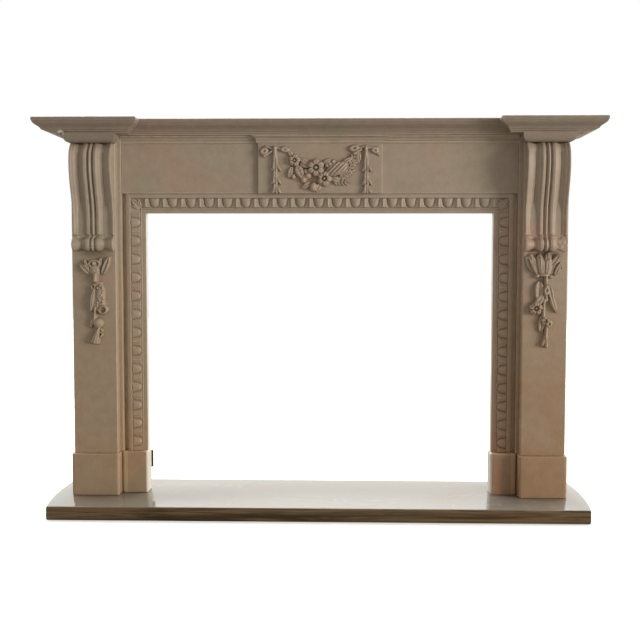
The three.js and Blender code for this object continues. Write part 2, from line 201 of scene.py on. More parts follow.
def softBlock(x0, x1, depth0, depth1, low, high, radius, edge):
    # A block whose front corners and top and bottom edges are rounded
    plan = np.concatenate([
        [[x0, depth0]],
        arc(x0 + radius, depth1 - radius, radius, 180, 90, 6),
        arc(x1 - radius, depth1 - radius, radius, 90, 0, 6),
        [[x1, depth0]],
    ])
    return planShell(plan, softLevels(low, high, edge))


def boxBlock(node, radius, edge):
    low, high = boxOf(node)
    return softBlock(low[0], high[0], wall - high[1], wall - low[1], low[2], high[2], radius, edge)


def spread(low, high, step, dense=(), fine=1.0):
    # Lines from low to high, every step, and every fine inside the dense stretches
    marks = [np.linspace(low, high, max(2, round((high - low) / step) + 1))]
    for start, end in dense:
        marks.append(np.linspace(start, end, max(2, round((end - start) / fine) + 1)))
    made = np.unique(np.round(np.concatenate(marks), 3))
    return made[np.concatenate([[True], np.diff(made) > fine * 0.35])]


def nearEnds(marks, *offsets):
    # Adds lines close inside both ends, for the rounded edges there
    offsets = np.array(offsets)
    return np.unique(np.concatenate([marks, marks[0] + offsets, marks[-1] - offsets]))


def roundedFace(across, low, high, radius):
    # How far a flat face falls back at its two rounded upright edges
    near = np.clip(np.minimum(across - low, high - across), 0, radius)
    return radius - np.sqrt(radius ** 2 - (radius - near) ** 2)


# Carved forms. Each gives the height of one form above its ground, over arrays of places u, v.
def localAxes(u, v, x, z, turn):
    # Along the direction turned from straight up by turn degrees, and across it
    angle = math.radians(turn)
    along = (u - x) * math.sin(angle) + (v - z) * math.cos(angle)
    across = (u - x) * math.cos(angle) - (v - z) * math.sin(angle)
    return along, across


def ovalReach(u, v, x, z, halfWidth, halfLength, turn):
    # The distance from the middle of a turned oval, 1 at its rim
    along, across = localAxes(u, v, x, z, turn)
    return np.hypot(across / halfWidth, along / halfLength)


def leafHeight(u, v, x, z, length, width, height, turn, ribs=0, bend=0, hollow=0.25):
    # A pointed leaf: its width swells and narrows from root to tip, with a crease along its middle
    along, across = localAxes(u, v, x, z, turn)
    share = np.clip(along / length, 0, 1)
    across = across - bend * length * share ** 2
    outline = np.sin(np.pi * share ** 0.8) ** 0.6
    side = np.abs(across) / np.maximum(width / 2 * outline, 1e-3)
    body = dome(side ** 4) * (0.5 + 0.5 * np.sin(np.pi * share ** 0.8 * 0.85))
    surface = 1 - hollow + hollow * side ** 2 - 0.12 * np.exp(-(across / 1.3) ** 2)
    if ribs:
        surface = surface - 0.12 * (0.5 + 0.5 * np.cos(2 * np.pi * (ribs * share + 0.9 * side)))
    return np.where((along > 0) & (along < length) & (side < 1), height * body * surface, 0)


def ballHeight(u, v, x, z, halfWidth, halfLength, height, turn=0):
    # An egg-shaped swelling
    return height * dome(ovalReach(u, v, x, z, halfWidth, halfLength, turn) ** 2)


def bloomHeight(u, v, x, z, radius, petals, height, turn=0):
    # An open flower: broad cupped petals parted by narrow grooves, then a ring and a bud in its middle
    along, across = localAxes(u, v, x, z, turn)
    reach = np.hypot(along, across) / radius
    wave = np.cos(petals * np.arctan2(across, along))
    share = reach / (0.92 + 0.08 * np.sign(wave) * np.abs(wave) ** 0.5)
    petal = dome(share ** 8) * (0.42 + 0.5 * np.sin(np.pi * np.clip(share, 0, 1) * 0.82))
    petal = petal * (1 - 0.45 * smooth(0.3, 0.55, reach) * np.exp(-((1 + wave) / 0.09) ** 2))
    petal = petal * (1 - 0.14 * np.exp(-((1 - wave) / 0.2) ** 2) * smooth(0.35, 0.6, reach))
    bud = dome((reach / 0.2) ** 2)
    trench = 0.55 * np.exp(-((reach - 0.28) / 0.075) ** 2)
    return height * np.where(reach < 0.2, np.maximum(bud, 0.15), np.clip(petal - trench, 0, None))


def podHeight(u, v, x, z, halfWidth, halfLength, height, turn=0, ridges=6, slant=25):
    # A swelling covered with slanting ridges
    along, across = localAxes(u, v, x, z, turn)
    reach = np.hypot(across / halfWidth, along / halfLength)
    lean = math.radians(slant)
    run = (across * math.cos(lean) + along * math.sin(lean)) / halfWidth
    ridge = np.abs(np.cos(np.pi * ridges / 2 * run)) ** 0.6
    return height * dome(reach ** 3) * (0.6 + 0.4 * ridge)


def fanHeight(u, v, x, z, length, rootHalf, topHalf, height, petals=5, turn=0, tip=0.2, open=0.75):
    # A cup seen from the side: petals side by side that open out from a narrow root, each one rounded
    # across, veined and pointed at its tip, the middle ones standing furthest forward
    along, across = localAxes(u, v, x, z, turn)
    share = np.clip(along / length, 0, 1.2)
    half = rootHalf + (topHalf - rootHalf) * share ** open
    place = (across / half + 1) / 2 * petals
    petal = np.clip(np.floor(place), 0, petals - 1)
    side = np.clip(2 * (place - petal) - 1, -1, 1)
    middle = 1 - np.abs((petal + 0.5) / petals * 2 - 1)
    end = 1 + 0.1 * middle - tip * side ** 2 - 0.06 * np.mod(petal, 2)
    upPetal = np.clip(share / end, 0, 1)
    body = dome((across / half) ** 4) * dome(side ** 4) ** 0.8
    body = body * (0.55 + 0.45 * np.sin(np.pi * upPetal * 0.75)) * smooth(0, 0.05, end - share)
    vein = 0.03 * np.cos(np.pi * 3 * side) + 0.08 * np.exp(-(side / 0.14) ** 2) - 0.06
    hollow = 0.12 * np.sin(np.pi * upPetal) * (1 - side ** 2)
    surface = body * (0.72 + 0.28 * middle + vein - hollow)
    return np.where((along > 0) & (np.abs(across) < half) & (share < end), height * surface, 0)


def trumpetHeight(u, v, x, z, halfWidth, halfLength, height, turn=0):
    # The open mouth of a bell-shaped flower: a raised rim round a deep hollow
    reach = ovalReach(u, v, x, z, halfWidth, halfLength, turn)
    return height * dome(reach ** 5) * (0.22 + 0.78 * smooth(0.35, 0.8, reach))


def ringHeight(u, v, x, z, halfWidth, halfLength, height, turn=0, band=0.3):
    # A looped ribbon or ring seen from the front, band of it solid from its rim inwards
    reach = ovalReach(u, v, x, z, halfWidth, halfLength, turn)
    return height * dome(((reach - 1 + band) / band) ** 2)


def stemHeight(u, v, x, z, length, width, height, turn, bend=0):
    # A round stem of even width
    along, across = localAxes(u, v, x, z, turn)
    share = np.clip(along / length, 0, 1)
    across = across - bend * length * share * (1 - share) * 4
    beyond = along - share * length
    reach = np.hypot(across, beyond) / (width / 2)
    return height * dome(reach ** 2)


carvedForms = {
    "leaf": leafHeight, "ball": ballHeight, "bloom": bloomHeight, "pod": podHeight, "fan": fanHeight,
    "trumpet": trumpetHeight, "ring": ringHeight, "stem": stemHeight,
}


def carve(u, v, forms):
    # The highest of all the forms at each place, each raised by its own lift where it stands
    field = np.zeros(u.shape)
    for kind, lift, *sizes in forms:
        options = sizes.pop() if isinstance(sizes[-1], dict) else {}
        height = carvedForms[kind](u, v, *sizes, **options)
        field = np.maximum(field, np.where(height > 0.4, height + lift, 0))
    return field


def softened(field):
    # Each place takes half its own height and an eighth of each neighbour's
    edge = np.pad(field, 1, mode="edge")
    return field * 0.5 + (edge[:-2, 1:-1] + edge[2:, 1:-1] + edge[1:-1, :-2] + edge[1:-1, 2:]) * 0.125


def handCarved(u, v, x, z, forms, grain, seed):
    # Forms placed from x, z and softened, with the fine unevenness of hand tools on all that stands out
    relief = softened(carve(u - x, v - z, forms))
    uneven = relief + grain * latticeNoise(np.stack([u, v, u * 0], -1), 4, seed)
    return np.where(relief > 0.5, uneven, relief)


# Shader node groups and materials
def addNode(tree, kind, settings=None, **inputs):
    # An input is named with _ for each space, or _ and its number, and takes a value or a socket
    node = tree.nodes.new("ShaderNode" + kind)
    for name, value in (settings or {}).items():
        setattr(node, name, value)
    for name, value in inputs.items():
        socket = node.inputs[int(name[1:]) if name[1:].isdigit() else name.replace("_", " ")]
        if isinstance(value, bpy.types.NodeSocket):
            tree.links.new(value, socket)
        else:
            socket.default_value = value
    return node


def mixColour(tree, share, first, second, blend="MIX"):
    settings = {"data_type": "RGBA", "blend_type": blend, "clamp_factor": True}
    return addNode(tree, "Mix", settings, _0=share, _6=first, _7=second).outputs[2]


def mathNode(tree, operation, first, second=0.0, clamp=False):
    settings = {"operation": operation, "use_clamp": clamp}
    return addNode(tree, "Math", settings, _0=first, _1=second).outputs[0]


def product(tree, value, *others):
    for other in others:
        value = mathNode(tree, "MULTIPLY", value, other)
    return value


def ramp(tree, value, low, high, fromShare=0.0, toShare=1.0):
    # fromShare where the value is low, toShare where it is high, and an S-shaped change between
    node = addNode(tree, "MapRange", {"interpolation_type": "SMOOTHSTEP", "clamp": True},
                   Value=value, From_Min=low, From_Max=high, To_Min=fromShare, To_Max=toShare)
    return node.outputs[0]


def noise(tree, vector, scale, detail=4.0, roughness=0.55, distortion=0.0):
    node = addNode(tree, "TexNoise", Vector=vector, Scale=scale, Detail=detail,
                   Roughness=roughness, Distortion=distortion)
    return node.outputs["Fac"]


def newGroup(name, inputs, outputs):
    tree = bpy.data.node_groups.new(name, "ShaderNodeTree")
    for socketName, kind, value in inputs:
        made = tree.interface.new_socket(name=socketName, in_out="INPUT", socket_type="NodeSocket" + kind)
        made.default_value = value
    for socketName, kind in outputs:
        tree.interface.new_socket(name=socketName, in_out="OUTPUT", socket_type="NodeSocket" + kind)
    return tree, tree.nodes.new("NodeGroupInput").outputs, tree.nodes.new("NodeGroupOutput").inputs


def makeStoneTint():
    # Broad patches of two tints over a base colour, with fine specks of light and dark
    tree, given, out = newGroup("stoneTint", [
        ("Vector", "Vector", (0, 0, 0)), ("Base", "Color", (1, 1, 1, 1)),
        ("Warm", "Color", (1, 1, 1, 1)), ("Cool", "Color", (1, 1, 1, 1)),
        ("Patch size", "Float", 3.0), ("Speckle", "Float", 0.1),
    ], [("Color", "Color"), ("Height", "Float")])
    broad = noise(tree, given["Vector"], given["Patch size"], 3.0, 0.5, 0.6)
    shifted = addNode(tree, "VectorMath", {"operation": "ADD"},
                      _0=given["Vector"], _1=(3.1, 7.7, 1.3))
    other = noise(tree, shifted.outputs[0], given["Patch size"], 4.0, 0.6, 0.3)
    colour = mixColour(tree, ramp(tree, broad, 0.5, 0.72), given["Base"], given["Warm"])
    colour = mixColour(tree, ramp(tree, other, 0.52, 0.74), colour, given["Cool"])
    fine = noise(tree, given["Vector"], 260.0, 5.0, 0.7)
    medium = noise(tree, given["Vector"], 38.0, 4.0, 0.6)
    grain = mathNode(tree, "ADD", product(tree, fine, 0.5), product(tree, medium, 0.5))
    speck = ramp(tree, grain, 0.36, 0.64, -1.0, 1.0)
    shade = mathNode(tree, "ADD", 1.0, product(tree, speck, given["Speckle"]))
    scaled = addNode(tree, "VectorMath", {"operation": "SCALE"}, _0=colour, Scale=shade)
    tree.links.new(scaled.outputs[0], out["Color"])
    tree.links.new(fine, out["Height"])
    return tree


def makeWearAndHollowShade():
    # Dirt and painted shade that darken the hollows, and pale, rubbed edges, both broken up by noise
    tree, given, out = newGroup("wearAndHollowShade", [
        ("Vector", "Vector", (0, 0, 0)), ("Color", "Color", (1, 1, 1, 1)), ("Dirt", "Color", (0, 0, 0, 1)),
        ("Rubbed", "Color", (1, 1, 1, 1)), ("Dirt amount", "Float", 0.6), ("Rub amount", "Float", 0.5),
        ("Hollow", "Float", 0.0), ("Edge", "Float", 0.0),
    ], [("Color", "Color")])
    broken = noise(tree, given["Vector"], 45.0, 4.0, 0.65)
    # The hollows are darkened partly as dirt and partly as painted shade
    dirt = product(tree, ramp(tree, given["Hollow"], 0.05, 0.8), given["Dirt amount"],
                   ramp(tree, broken, 0.25, 0.6, 0.55, 1.0))
    rub = product(tree, ramp(tree, given["Edge"], 0.15, 0.9), given["Rub amount"],
                  ramp(tree, broken, 0.35, 0.62, 0.35, 1.0))
    colour = mixColour(tree, dirt, given["Color"], given["Dirt"])
    tree.links.new(mixColour(tree, rub, colour, given["Rubbed"]), out["Color"])
    return tree


def makeVeins():
    # Thin wandering veins where two layers of noise cross their middle values
    tree, given, out = newGroup("veins", [
        ("Vector", "Vector", (0, 0, 0)), ("Scale", "Float", 3.0),
        ("Width", "Float", 0.01), ("Seed", "Float", 0.0),
    ], [("Mask", "Float")])
    moved = addNode(tree, "VectorMath", {"operation": "ADD"}, _0=given["Vector"], _1=given["Seed"])
    field = noise(tree, moved.outputs[0], given["Scale"], 5.0, 0.55, 0.9)
    gap = mathNode(tree, "ABSOLUTE", mathNode(tree, "SUBTRACT", field, 0.5))
    line = ramp(tree, mathNode(tree, "DIVIDE", gap, given["Width"]), 0.0, 1.0, 1.0, 0.0)
    patchy = ramp(tree, noise(tree, given["Vector"], 2.3, 2.0), 0.42, 0.62)
    tree.links.new(product(tree, line, patchy), out["Mask"])
    return tree


stoneTint, wearAndHollowShade, veins = makeStoneTint(), makeWearAndHollowShade(), makeVeins()


def useGroup(tree, group, **inputs):
    return addNode(tree, "Group", {"node_tree": group}, **inputs)


def newMaterial(name, rough, metal=0.0, specular=0.5):
    material = bpy.data.materials.new(name)
    material.use_nodes = True
    tree = material.node_tree
    shader = tree.nodes["Principled BSDF"]
    shader.inputs["Roughness"].default_value = rough
    shader.inputs["Metallic"].default_value = metal
    shader.inputs["Specular IOR Level"].default_value = specular
    place = addNode(tree, "TexCoord").outputs["Object"]
    return material, tree, shader, place


def attribute(tree, name):
    return addNode(tree, "Attribute", {"attribute_name": name}).outputs["Fac"]


def grainNormal(tree, shader, height, strength, distance):
    bump = addNode(tree, "Bump", Strength=strength, Distance=distance, Height=height)
    tree.links.new(bump.outputs[0], shader.inputs["Normal"])


# Colours are linear. Places and reaches are in millimetres: of the stain, of the painted shadow below the rolls
# from their foot and from the leg's middle, and of the pale chip under the shelf.
stoneLook = {
    "base": (0.46, 0.375, 0.29, 1), "warm": (0.50, 0.35, 0.265, 1), "cool": (0.41, 0.365, 0.255, 1),
    "patchSize": 3.6, "speckle": 0.07, "dirt": (0.20, 0.13, 0.08, 1), "dirtAmount": 0.6,
    "rubbed": (0.66, 0.57, 0.46, 1), "rubAmount": 0.55, "rough": 0.5, "grainBump": 0.12,
    "recessLightened": (0.2, 0.13, 0.06, 1), "paleLitAndFresh": (0.80, 0.75, 0.68, 1), "darkAbove": (0.72, 0.70, 0.71, 1),
    "stain": (0.98, 0.86, 0.71, 1), "stainRight": (0.91, 0.70, 0.53, 1), "under": (0.62, 0.56, 0.50, 1),
    "stainHeights": (950, 120), "stainAcross": (-100, 500), "underHeights": (26, 6), "underHalf": (55, 20),
    "paleLitAndFreshShare": 0.8, "chip": (-722, -68, 1075), "chipReach": (12, 6), "specular": 0.45,
}


def makeCarvedStone():
    look = stoneLook
    material, tree, shader, place = newMaterial("cream_stone", look["rough"], specular=look["specular"])

    def between(value, low, high):
        return ramp(tree, value, low * mm, high * mm)

    tint = useGroup(tree, stoneTint, Vector=place, Base=look["base"], Warm=look["warm"], Cool=look["cool"],
                    Patch_size=look["patchSize"], Speckle=look["speckle"])
    worn = useGroup(tree, wearAndHollowShade, Vector=place, Color=tint.outputs["Color"], Dirt=look["dirt"],
                    Rubbed=look["rubbed"], Dirt_amount=look["dirtAmount"], Rub_amount=look["rubAmount"],
                    Hollow=attribute(tree, "hollow"), Edge=attribute(tree, "edge"))
    # Darker from the caps upwards, in front of the frieze, and a brown stain that grows towards the foot
    at = addNode(tree, "SeparateXYZ", Vector=place).outputs
    broken = noise(tree, place, 5.0, 4.0, 0.6)
    darkAboveShare = product(tree, between(at["Z"], capFoot - 1, capFoot),
                    between(at["Y"], wall - legFace + 16, wall - legFace))
    colour = mixColour(tree, darkAboveShare, worn.outputs["Color"], look["darkAbove"], "MULTIPLY")
    low = product(tree, between(at["Z"], *look["stainHeights"]), ramp(tree, broken, 0.3, 0.65, 0.55, 1.0))
    stain = mixColour(tree, between(at["X"], *look["stainAcross"]), look["stain"], look["stainRight"])
    colour = mixColour(tree, low, colour, stain, "MULTIPLY")
    # Painted light: the floor of the recess beside the frame is screened paler and browner, lifting its shade
    fromMiddle = mathNode(tree, "ABSOLUTE", at["X"])
    sunk = product(tree, between(fromMiddle, frameOuter - 0.2, frameOuter + 0.2),
                   between(fromMiddle, legInner + 0.4, legInner), between(at["Z"], frameTop, frameTop - 1))
    colour = mixColour(tree, sunk, colour, look["recessLightened"], "SCREEN")
    # Painted shadow below the corbels' rolls, at all depths of the leg
    fromLeg = mathNode(tree, "ABSOLUTE", mathNode(tree, "SUBTRACT", fromMiddle, legCentre * mm))
    start, full = look["underHeights"]
    below = product(tree, between(at["Z"], rollFoot - start, rollFoot - full),
                    between(at["Z"], rollFoot + 3, rollFoot + 1), between(fromLeg, *look["underHalf"]))
    colour = mixColour(tree, below, colour, look["under"], "MULTIPLY")
    # Painted light: the sides of the opening are made paler; paler, fresher stone also shows in the chip under
    # the shelf
    side = product(tree, between(fromMiddle, openingHalf + 1.2, openingHalf + 0.5),
                   between(at["Z"], openingTop + 1, openingTop), look["paleLitAndFreshShare"])
    apart = addNode(tree, "VectorMath", {"operation": "DISTANCE"},
                    _0=place, _1=[value * mm for value in look["chip"]])
    paleLitAndFresh = mathNode(tree, "MAXIMUM", side, between(apart.outputs["Value"], *look["chipReach"]))
    colour = mixColour(tree, paleLitAndFresh, colour, look["paleLitAndFresh"])
    tree.links.new(colour, shader.inputs["Base Color"])
    rough = ramp(tree, noise(tree, place, 22.0), 0.3, 0.7, look["rough"] - 0.08, look["rough"] + 0.1)
    tree.links.new(rough, shader.inputs["Roughness"])
    tooling = noise(tree, place, 90.0, 3.0, 0.5)
    height = mathNode(tree, "ADD", product(tree, tint.outputs["Height"], 0.35), tooling)
    grainNormal(tree, shader, height, look["grainBump"], 0.002)
    return material


hearthLook = {
    "top": (0.23, 0.205, 0.165, 1), "topWarm": (0.24, 0.20, 0.15, 1), "topCool": (0.21, 0.20, 0.17, 1),
    "vein": (0.30, 0.30, 0.285, 1), "edgeLight": (0.23, 0.16, 0.09, 1), "edgeDark": (0.075, 0.047, 0.024, 1),
    "edgeWarm": (0.20, 0.125, 0.068, 1), "rough": 0.11, "edgeRough": 0.5,
    "veinLayers": [(5.2, 0.011, 4.0, 0.75), (2.4, 0.035, 9.0, 0.22)],  # scale, width, seed, strength
}


def makeHearthMarble():
    # Polished pale marble above, and brown bands lying along the unpolished edges, kept darker than the top as
    # painted shade
    look = hearthLook
    material, tree, shader, place = newMaterial("veined_marble", look["rough"])
    tint = useGroup(tree, stoneTint, Vector=place, Base=look["top"], Warm=look["topWarm"], Cool=look["topCool"],
                    Patch_size=4.0, Speckle=0.03)
    stretched = addNode(tree, "Mapping", Vector=place, Scale=(0.7, 1.6, 1.0)).outputs[0]
    layers = []
    for scale, width, seed, strength in look["veinLayers"]:
        layer = useGroup(tree, veins, Vector=stretched, Scale=scale, Width=width, Seed=seed)
        layers.append(product(tree, layer.outputs[0], strength))
    mask = mathNode(tree, "ADD", *layers, clamp=True)
    top = mixColour(tree, mask, tint.outputs["Color"], look["vein"])
    banded = addNode(tree, "Mapping", Vector=place, Scale=(1.1, 1.1, 26.0)).outputs[0]
    bands = noise(tree, banded, 2.6, 5.0, 0.6, 0.8)
    edge = mixColour(tree, ramp(tree, bands, 0.38, 0.62), look["edgeDark"], look["edgeLight"])
    edge = mixColour(tree, ramp(tree, noise(tree, banded, 1.4, 3.0), 0.5, 0.7), edge, look["edgeWarm"])
    facing = addNode(tree, "NewGeometry").outputs["Normal"]
    upward = addNode(tree, "SeparateXYZ", Vector=facing).outputs["Z"]
    isTop = ramp(tree, upward, 0.55, 0.8)
    # The darker banded colour on the edges is partly the marble's own and partly painted shade
    tree.links.new(mixColour(tree, isTop, edge, top), shader.inputs["Base Color"])
    tree.links.new(ramp(tree, upward, 0.55, 0.8, look["edgeRough"], look["rough"]), shader.inputs["Roughness"])
    polish = mathNode(tree, "SUBTRACT", ramp(tree, upward, 0.55, 0.8, 0.15, 0.42), product(tree, mask, 0.25))
    tree.links.new(polish, shader.inputs["Specular IOR Level"])
    grainNormal(tree, shader, noise(tree, place, 120.0), 0.05, 0.002)
    return material


def makeDarkIron():
    # Dull iron with patches of rust
    material, tree, shader, place = newMaterial("dark_iron", 0.6, metal=0.6)
    rust = ramp(tree, noise(tree, place, 90.0, 4.0, 0.6), 0.4, 0.65)
    tree.links.new(mixColour(tree, rust, (0.05, 0.045, 0.042, 1), (0.12, 0.06, 0.035, 1)),
                   shader.inputs["Base Color"])
    grainNormal(tree, shader, noise(tree, place, 400.0), 0.3, 0.001)
    return material


# One material for each slot
materials = {
    "carved_stone": makeCarvedStone(), "hearth_marble": makeHearthMarble(), "dark_iron": makeDarkIron(),
}


def placeObject(name, data):
    made = bpy.data.objects.new(name, data)
    bpy.context.scene.collection.objects.link(made)
    return made


def markShape(points, edges, normals):
    # How far the neighbours of each point rise above or fall below its tangent plane, in 1/mm
    first, second = edges[:, 0], edges[:, 1]
    step = points[second] - points[first]
    length = np.maximum(np.sum(step * step, axis=1), 1e-4)
    total, count = np.zeros(len(points)), np.zeros(len(points))
    np.add.at(total, first, 2 * np.sum(step * normals[first], axis=1) / length)
    np.add.at(total, second, -2 * np.sum(step * normals[second], axis=1) / length)
    np.add.at(count, first, 1)
    np.add.at(count, second, 1)
    curve = total / np.maximum(count, 1)
    spreadOut = np.zeros(len(points))
    np.add.at(spreadOut, first, curve[second])
    np.add.at(spreadOut, second, curve[first])
    return 0.5 * curve + 0.5 * spreadOut / np.maximum(count, 1)


# How every piece is worn: the noises' sizes in mm, and how much the curve of the surface counts
wear = {
    "sagSize": 70, "chipSize": 9, "chipFrom": 0.35, "chipTo": 0.8, "edgeGain": 4, "hollowGain": 3,
    "sharpAngle": 38,
}


def makePiece(name, node, slotName, shells, sag, chips, seed):
    # One mesh of all the shells, worn back along its normals and kept inside the box of its node
    points, faces = joinShells(shells)
    mesh = bpy.data.meshes.new(name)
    corners = np.concatenate([block.ravel() for block in faces]).astype(np.int32)
    sizes = np.concatenate([np.full(len(block), block.shape[1]) for block in faces])
    mesh.vertices.add(len(points))
    mesh.vertices.foreach_set("co", (points * mm).astype(np.float32).ravel())
    mesh.loops.add(len(corners))
    mesh.loops.foreach_set("vertex_index", corners)
    mesh.polygons.add(len(sizes))
    mesh.polygons.foreach_set("loop_start", np.concatenate([[0], np.cumsum(sizes)[:-1]]).astype(np.int32))
    mesh.update(calc_edges=True)
    mesh.validate()
    normals = np.zeros(len(points) * 3, np.float32)
    mesh.vertices.foreach_get("normal", normals)
    normals = normals.reshape(-1, 3).astype(float)
    edges = np.zeros(len(mesh.edges) * 2, np.int32)
    mesh.edges.foreach_get("vertices", edges)
    curve = markShape(points, edges.reshape(-1, 2), normals)
    edge = np.clip(-curve * wear["edgeGain"], 0, 1)
    hollow = np.clip(curve * wear["hollowGain"], 0, 1)
    # The surface is worn back a little everywhere, and its edges are chipped here and there
    worn = sag * (0.5 + 0.5 * latticeNoise(points, wear["sagSize"], seed))
    if chips:
        broken = latticeNoise(points, wear["chipSize"], seed + 5)
        worn = worn + chips * edge * smooth(wear["chipFrom"], wear["chipTo"], broken)
    points = np.clip(points - normals * worn[:, None], *boxOf(node))
    mesh.vertices.foreach_set("co", (points * mm).astype(np.float32).ravel())
    for label, values in (("edge", edge), ("hollow", hollow)):
        mesh.attributes.new(label, "FLOAT", "POINT").data.foreach_set("value", values.astype(np.float32))
    mesh.shade_smooth()
    mesh.set_sharp_from_angle(angle=math.radians(wear["sharpAngle"]))
    mesh.materials.append(materials[slotName])
    mesh.update()
    piece = placeObject(name, mesh)
    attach(piece, "root")
    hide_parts(node)


# Hearth slab
hearth = {"frontHalf": 749, "backHalf": 758, "bow": 12.5, "edge": 5}


def makeHearth():
    # Straight front and back, and ends that are quadratic curves bowed outwards by the bow at half depth
    front, back = wall - boxOf("hearth")[0][1], 0
    start, end = hearth["frontHalf"], hearth["backHalf"]
    middle = (start + end) / 2 + 2 * hearth["bow"]
    share = np.linspace(0, 1, 25)
    bowX = (1 - share) ** 2 * start + 2 * share * (1 - share) * middle + share ** 2 * end
    bow = np.column_stack([bowX, front + (back - front) * share])
    side, rear = np.linspace(-start, start, 60), np.linspace(end, -end, 60)
    plan = np.concatenate([
        np.column_stack([side, np.full(60, front)]), bow[1:],
        np.column_stack([rear, np.full(60, back)])[1:], (bow * [-1, 1])[::-1][1:-1],
    ])
    levels = softLevels(0, hearthTop, hearth["edge"], guard=3, step=12)
    makePiece("hearth_slab", "hearth", "hearth_marble", [planShell(plan, levels, 50)],
              sag=0.15, chips=0.6, seed=3)


makeHearth()
print("hearth done")

# Plinth blocks
plinth = {"round": 7, "edge": 2.5}


def makePlinths():
    # A block over each node's box, with rounded front corners and edges
    for at, (side, row) in enumerate(itertools.product(("left", "right"), ("outer", "inner"))):
        node = f"plinth_{row}_{side}"
        block = boxBlock(node, plinth["round"], plinth["edge"])
        makePiece(node + "_block", node, "carved_stone", [block], sag=0.3, chips=0.8, seed=11 + at)


makePlinths()
print("plinths done")

# Legs: shaft, stepped backing, tongue, corbel, cap and hanging ornament
leg = {
    "backingDepth": 173, "tongueDepth": 150, "arris": 3,
    "corbelHalf": 60.5, "bulge": 42, "start": 16, "neck": 8, "rollRadius": 20.5, "reed": 9,
    "capProud": 44, "capRun": 14, "capHalf": 73.5, "dropHeight": 285,
    "swell": [(0.88, 24), (1, 62), (0.83, 106), (0.48, 150)],  # share of the bulge, drop below the cap
    "neckDrop": 192,
}
rollCentre = rollFoot + leg["rollRadius"]
rollTop = rollCentre + leg["rollRadius"]
# Half of the corbel's reeds from the middle out, as [share of its half width, share of the reed's depth]
reedSection = np.array([
    [0, 0.05], [0.075, 0.6], [0.105, 1.1], [0.135, 0.8], [0.19, 0.12], [0.28, 0.05], [0.4, 0.65],
    [0.5, 1.4], [0.57, 1.6], [0.66, 1.25], [0.8, 0.5], [0.92, 0.05], [0.965, 0.02], [0.985, 0.35], [1, 1.2],
])

# [kind, lift, x, z, sizes]: x from the leg's middle, z above the roll's foot
leftDrop = [
    ["ball", 2, 4, -54, 17, 20, 14], ["trumpet", 3, 3, -36, 20, 14, 13], ["ball", 6, 2, -34, 7, 8, 12],
    ["leaf", 5, 26, -66, 56, 17, 16, 22, {"hollow": 0.5}],
    ["leaf", 3, 18, -50, 34, 12, 12, 6],
    ["leaf", 3, -8, -66, 46, 16, 14, -45, {"hollow": 0.5}],
    ["leaf", 2, -14, -54, 34, 12, 11, -22, {"hollow": 0}],
    ["stem", 4, 6, -66, 17, 14, 16, 180], ["ball", 5, 6, -64, 10, 4, 17],
    ["stem", 1, 8, -70, 180, 10, 8, 180, {"bend": 0.02}],
    ["fan", 0, 12, -87, 78, 14, 25, 15, {"petals": 1, "turn": 181, "tip": 0.06, "open": 0.9}],
    ["leaf", 6, 2, -106, 66, 13, 13, 189, {"hollow": 0}],
    ["trumpet", 6, 0, -101, 5.5, 9, 13, 10],
    ["ball", 3, 19, -126, 14, 38, 13],
    *[["ball", 4, 20 + 8 * math.sin(at * 2.4), -98 - at * 3.2, 4.6, 5, 13.5] for at in range(18)],
    ["trumpet", 5, 27, -167, 13, 15, 17, 60],
    ["stem", 3, 5, -160, 40, 9, 14, 184],
    ["ball", 4, 12, -205, 15, 16, 18, 20], ["leaf", 6, 0, -186, 36, 11, 15, 168, {"hollow": 0.5}],
    ["leaf", 1, 0, -186, 34, 12, 13, 198, {"hollow": 0}],
    *[["ball", 2, 21 + 3 * math.sin(at * 2.3), -224 - at * 4, 3.6, 4, 12] for at in range(6)],
    ["fan", 3, 15, -216, 47, 5, 15, 17, {"petals": 1, "turn": 197, "tip": 0.1, "open": 1.2}],
]
rightDrop = [
    ["fan", 0, -4, -64, 60, 27, 50, 15, {"petals": 4, "turn": -2, "tip": 0.25, "open": 0.8}],
    ["fan", 4, -3, -64, 48, 15, 26, 15, {"petals": 2, "tip": 0.35, "open": 0.6}],
    ["leaf", 6, -26, -62, 50, 10, 14, -26, {"hollow": 0}],
    ["leaf", 2, -33, -58, 50, 19, 12, -26, {"hollow": 0.3}],
    ["leaf", 6, 17, -38, 38, 17, 13, 34, {"hollow": 0.4}],
    ["leaf", 4, 26, -66, 40, 13, 12, 24, {"hollow": 0.3}], ["ball", 4, 45, -43, 3.5, 3.5, 8],
    ["ball", 3, -24, -68, 7, 6, 13], ["ball", 3, -4, -66, 16, 5, 16], ["ball", 2, 14, -70, 6, 5, 12],
    ["stem", 4, 1, -66, 22, 10, 14, 180],
    ["stem", 2, 2, -80, 56, 11, 11, 178, {"bend": 0.04}],
    ["leaf", 2, -17, -82, 60, 27, 16, 181, {"hollow": 0.45, "bend": 0.03}],
    ["leaf", 3, 10, -94, 52, 17, 15, 170, {"hollow": 0.3, "bend": -0.06}],
    ["ring", 6, 2, -109, 9, 17, 14, 8, {"band": 0.5}],
    ["leaf", 2, 14, -120, 56, 18, 12, 164, {"bend": -0.06, "hollow": 0}],
    ["leaf", 2, -6, -120, 50, 22, 15, 210, {"bend": 0.05}],
    ["bloom", 4, -26, -160, 20, 5, 17],
    ["stem", 2, -2, -136, 60, 11, 13, 180, {"bend": 0.05}],
    ["leaf", 1, -4, -176, 54, 22, 13, 190, {"hollow": 0.4}],
    ["bloom", 4, 0, -196, 14, 5, 15],
    ["ring", 3, 11, -204, 10, 13, 14, 20, {"band": 0.5}],
    ["stem", 2, 4, -212, 32, 11, 13, 182],
    ["fan", 2, 3, -236, 34, 6, 13, 15, {"petals": 2, "turn": 188, "tip": 0.2, "open": 1.0}],
]


